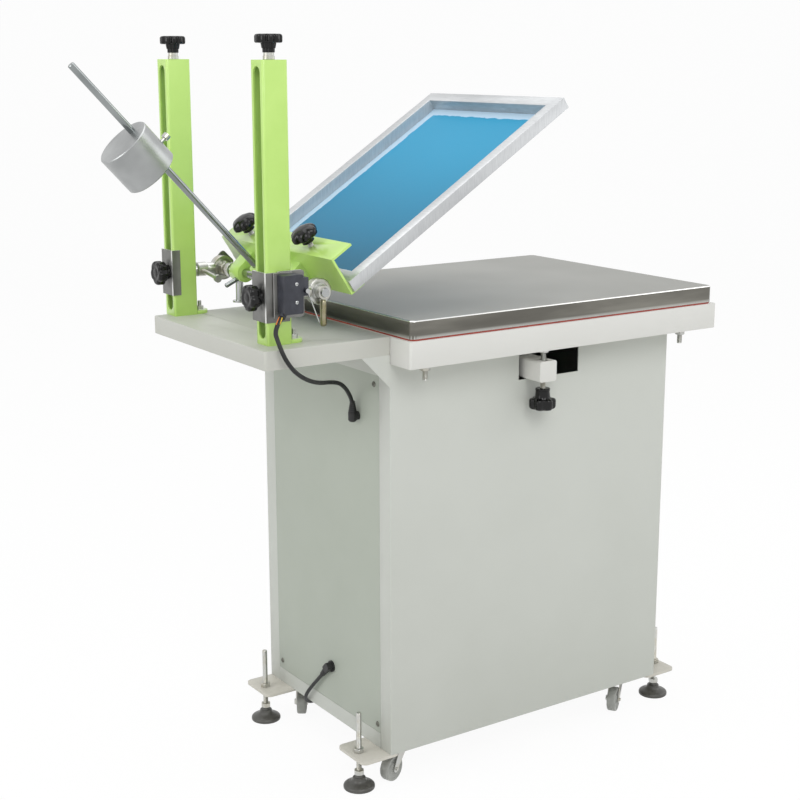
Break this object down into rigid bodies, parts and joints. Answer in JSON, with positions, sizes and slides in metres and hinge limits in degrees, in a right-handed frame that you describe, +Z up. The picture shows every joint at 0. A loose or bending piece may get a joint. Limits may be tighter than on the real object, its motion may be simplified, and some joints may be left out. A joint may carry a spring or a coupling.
{
  "type": "vacuum screen printing table",
  "caption": "Floor-standing manual screen printing table: cabinet with a vacuum platen and a counterweighted hinged screen on slotted columns.",
  "frame": {"origin": "on the floor under the middle of the machine", "axes": "+X from the hinge end to the operator's end, +Y to the far side, +Z up"},
  "size_m": [1.1763, 0.555, 1.34],
  "materials": {
    "cabinet_paint": "satin",
    "frame_paint": "satin",
    "green_paint": "satin",
    "tray_paint": "satin",
    "platen_metal": "satin",
    "red_rubber": "matte",
    "zinc_steel": "satin",
    "dark_steel": "satin",
    "turned_steel": "satin",
    "black_plastic": "matte",
    "switch_plastic": "matte",
    "frame_aluminium": "satin",
    "mesh_fabric": "matte",
    "grey_wheel": "satin",
    "black_rubber": "matte",
    "cast_metal": "satin"
  },
  "bodies": {
    "cabinet": {"cabinet_panels": "cabinet_paint", "end_panel": "cabinet_paint", "cabinet_frame": "cabinet_paint", "base_pan": "cabinet_paint", "flange_plates": "cabinet_paint", "foot_nuts": "zinc_steel", "caster_plates": "zinc_steel", "shelf": "cabinet_paint", "lock_beam": "cabinet_paint", "columns": "green_paint", "column_bolts": "zinc_steel", "cable_glands": "black_rubber", "switch_cable": "black_rubber", "mains_cord": "black_rubber", "mains_coil": "black_rubber", "mains_plug": "black_plastic", "vacuum_blower": "cast_metal", "vacuum_hose": "switch_plastic"},
    "table": {"tray": "tray_paint", "gasket": "red_rubber", "platen": "platen_metal", "table_studs": "zinc_steel"},
    "lock": {"lock_knob": "black_plastic"},
    "carriage": {"slide_blocks": "zinc_steel", "wrap_plates": "dark_steel", "rod_ends": "zinc_steel", "hinge_shaft": "zinc_steel", "hinge_nuts": "zinc_steel", "limit_switch": "switch_plastic"},
    "screen": {"clamp_bracket": "green_paint", "counterweight_rod": "zinc_steel", "screen_frame": "frame_aluminium", "screen_mesh": "mesh_fabric"},
    "weight": {"counterweight": "turned_steel"},
    "thumb_screw": {"weight_screw": "zinc_steel"},
    "brake": {"brake_screw": "zinc_steel"},
    "lever": {"shaft_lever": "zinc_steel"},
    "wand": {"switch_wand": "zinc_steel"},
    "foot_1": {"foot_1": "zinc_steel"},
    "foot_2": {"foot_2": "zinc_steel"},
    "foot_3": {"foot_3": "zinc_steel"},
    "foot_4": {"foot_4": "zinc_steel"},
    "caster_1": {"caster_fork_1": "zinc_steel"},
    "wheel_1": {"caster_wheel_1": "grey_wheel"},
    "caster_2": {"caster_fork_2": "zinc_steel"},
    "wheel_2": {"caster_wheel_2": "grey_wheel"},
    "caster_3": {"caster_fork_3": "zinc_steel"},
    "wheel_3": {"caster_wheel_3": "grey_wheel"},
    "caster_4": {"caster_fork_4": "zinc_steel"},
    "wheel_4": {"caster_wheel_4": "grey_wheel"},
    "screw_near": {"leadscrew_near": "zinc_steel", "height_knob_near": "black_plastic"},
    "column_knob_near": {"column_knob_near": "black_plastic"},
    "collar_near": {"adjust_collar_near": "zinc_steel"},
    "screw_far": {"leadscrew_far": "zinc_steel", "height_knob_far": "black_plastic"},
    "column_knob_far": {"column_knob_far": "black_plastic"},
    "collar_far": {"adjust_collar_far": "zinc_steel"},
    "frame_knob_near": {"frame_knob_near": "black_plastic"},
    "frame_knob_far": {"frame_knob_far": "black_plastic"}
  },
  "joints": [
    {"name": "table_shift", "type": "slide", "parent": "cabinet", "child": "table", "axis": [0, 1, 0], "range_m": [-0.005, 0.005]},
    {"name": "lock_turn", "type": "hinge", "parent": "table", "child": "lock", "pos_m": [0.181, -0.247, 0.7], "axis": [0, 0, 1], "range_deg": [-360, 360]},
    {"name": "foot_1_level", "type": "slide", "parent": "cabinet", "child": "foot_1", "axis": [0, 0, 1], "range_m": [-0.025, 0.015]},
    {"name": "foot_2_level", "type": "slide", "parent": "cabinet", "child": "foot_2", "axis": [0, 0, 1], "range_m": [-0.025, 0.015]},
    {"name": "foot_3_level", "type": "slide", "parent": "cabinet", "child": "foot_3", "axis": [0, 0, 1], "range_m": [-0.025, 0.015]},
    {"name": "foot_4_level", "type": "slide", "parent": "cabinet", "child": "foot_4", "axis": [0, 0, 1], "range_m": [-0.025, 0.015]},
    {"name": "caster_1_swivel", "type": "hinge", "parent": "cabinet", "child": "caster_1", "pos_m": [-0.084, 0.18, 0.06], "axis": [0, 0, 1], "continuous": true},
    {"name": "caster_1_roll", "type": "hinge", "parent": "caster_1", "child": "wheel_1", "pos_m": [-0.09777, 0.16034, 0.025], "axis": [0.8192, -0.5736, 0], "continuous": true},
    {"name": "caster_2_swivel", "type": "hinge", "parent": "cabinet", "child": "caster_2", "pos_m": [-0.084, -0.172, 0.06], "axis": [0, 0, 1], "continuous": true},
    {"name": "caster_2_roll", "type": "hinge", "parent": "caster_2", "child": "wheel_2", "pos_m": [-0.10655, -0.18021, 0.025], "axis": [0.342, -0.9397, 0], "continuous": true},
    {"name": "caster_3_swivel", "type": "hinge", "parent": "cabinet", "child": "caster_3", "pos_m": [0.455, -0.172, 0.06], "axis": [0, 0, 1], "continuous": true},
    {"name": "caster_3_roll", "type": "hinge", "parent": "caster_3", "child": "wheel_3", "pos_m": [0.43534, -0.18577, 0.025], "axis": [0.5736, -0.8192, 0], "continuous": true},
    {"name": "caster_4_swivel", "type": "hinge", "parent": "cabinet", "child": "caster_4", "pos_m": [0.455, 0.18, 0.06], "axis": [0, 0, 1], "continuous": true},
    {"name": "caster_4_roll", "type": "hinge", "parent": "caster_4", "child": "wheel_4", "pos_m": [0.47755, 0.18821, 0.025], "axis": [-0.342, 0.9397, 0], "continuous": true},
    {"name": "carriage_lift", "type": "slide", "parent": "cabinet", "child": "carriage", "axis": [0, 0, 1], "range_m": [-0.02, 0.3], "deforming": ["switch_cable"]},
    {"name": "height_screw_near", "type": "hinge", "parent": "cabinet", "child": "screw_near", "pos_m": [-0.322, -0.159, 1.3], "axis": [0, 0, 1], "range_deg": [-2500, 36500]},
    {"name": "column_knob_near_turn", "type": "hinge", "parent": "carriage", "child": "column_knob_near", "pos_m": [-0.36, -0.159, 0.922], "axis": [1, 0, 0], "range_deg": [-360, 360]},
    {"name": "collar_near_turn", "type": "hinge", "parent": "carriage", "child": "collar_near", "pos_m": [-0.281, -0.159, 0.922], "axis": [1, 0, 0], "range_deg": [-40, 90]},
    {"name": "height_screw_far", "type": "hinge", "parent": "cabinet", "child": "screw_far", "pos_m": [-0.322, 0.188, 1.3], "axis": [0, 0, 1], "range_deg": [-2500, 36500]},
    {"name": "column_knob_far_turn", "type": "hinge", "parent": "carriage", "child": "column_knob_far", "pos_m": [-0.36, 0.188, 0.922], "axis": [1, 0, 0], "range_deg": [-360, 360]},
    {"name": "collar_far_turn", "type": "hinge", "parent": "carriage", "child": "collar_far", "pos_m": [-0.281, 0.188, 0.922], "axis": [1, 0, 0], "range_deg": [-90, 40]},
    {"name": "shaft_lever_turn", "type": "hinge", "parent": "carriage", "child": "lever", "pos_m": [-0.237, -0.175, 0.922], "axis": [0, 1, 0], "range_deg": [-35, 25]},
    {"name": "screen_tilt", "type": "hinge", "parent": "carriage", "child": "screen", "pos_m": [-0.237, 0, 0.922], "axis": [0, 1, 0], "range_deg": [-27, 32.7]},
    {"name": "frame_knob_near_turn", "type": "hinge", "parent": "screen", "child": "frame_knob_near", "pos_m": [-0.22313, -0.102, 1.0022], "axis": [-0.5402, 0, 0.8415], "range_deg": [-360, 360]},
    {"name": "frame_knob_far_turn", "type": "hinge", "parent": "screen", "child": "frame_knob_far", "pos_m": [-0.22313, 0.109, 1.0022], "axis": [-0.5402, 0, 0.8415], "range_deg": [-360, 360]},
    {"name": "brake_turn", "type": "hinge", "parent": "screen", "child": "brake", "pos_m": [-0.237, 0.121, 0.88], "axis": [0, 0, 1], "range_deg": [-90, 90]},
    {"name": "weight_slide", "type": "slide", "parent": "screen", "child": "weight", "axis": [-0.6833, 0, 0.7302], "range_m": [-0.2, 0.14]},
    {"name": "thumb_screw_turn", "type": "hinge", "parent": "weight", "child": "thumb_screw", "pos_m": [-0.42097, 0.0145, 1.17714], "axis": [0.7302, 0, 0.6833], "range_deg": [-360, 360]},
    {"name": "wand_swing", "type": "hinge", "parent": "carriage", "child": "wand", "pos_m": [-0.29, -0.2143, 0.934], "axis": [0, 1, 0], "range_deg": [-20, 20], "stiffness_Nm_per_rad": 0.03}
  ],
  "couplings": [
    {"joint": "height_screw_near", "follows": "carriage_lift", "rad_per_m": 2094.4},
    {"joint": "height_screw_far", "follows": "carriage_lift", "rad_per_m": 2094.4}
  ]
}
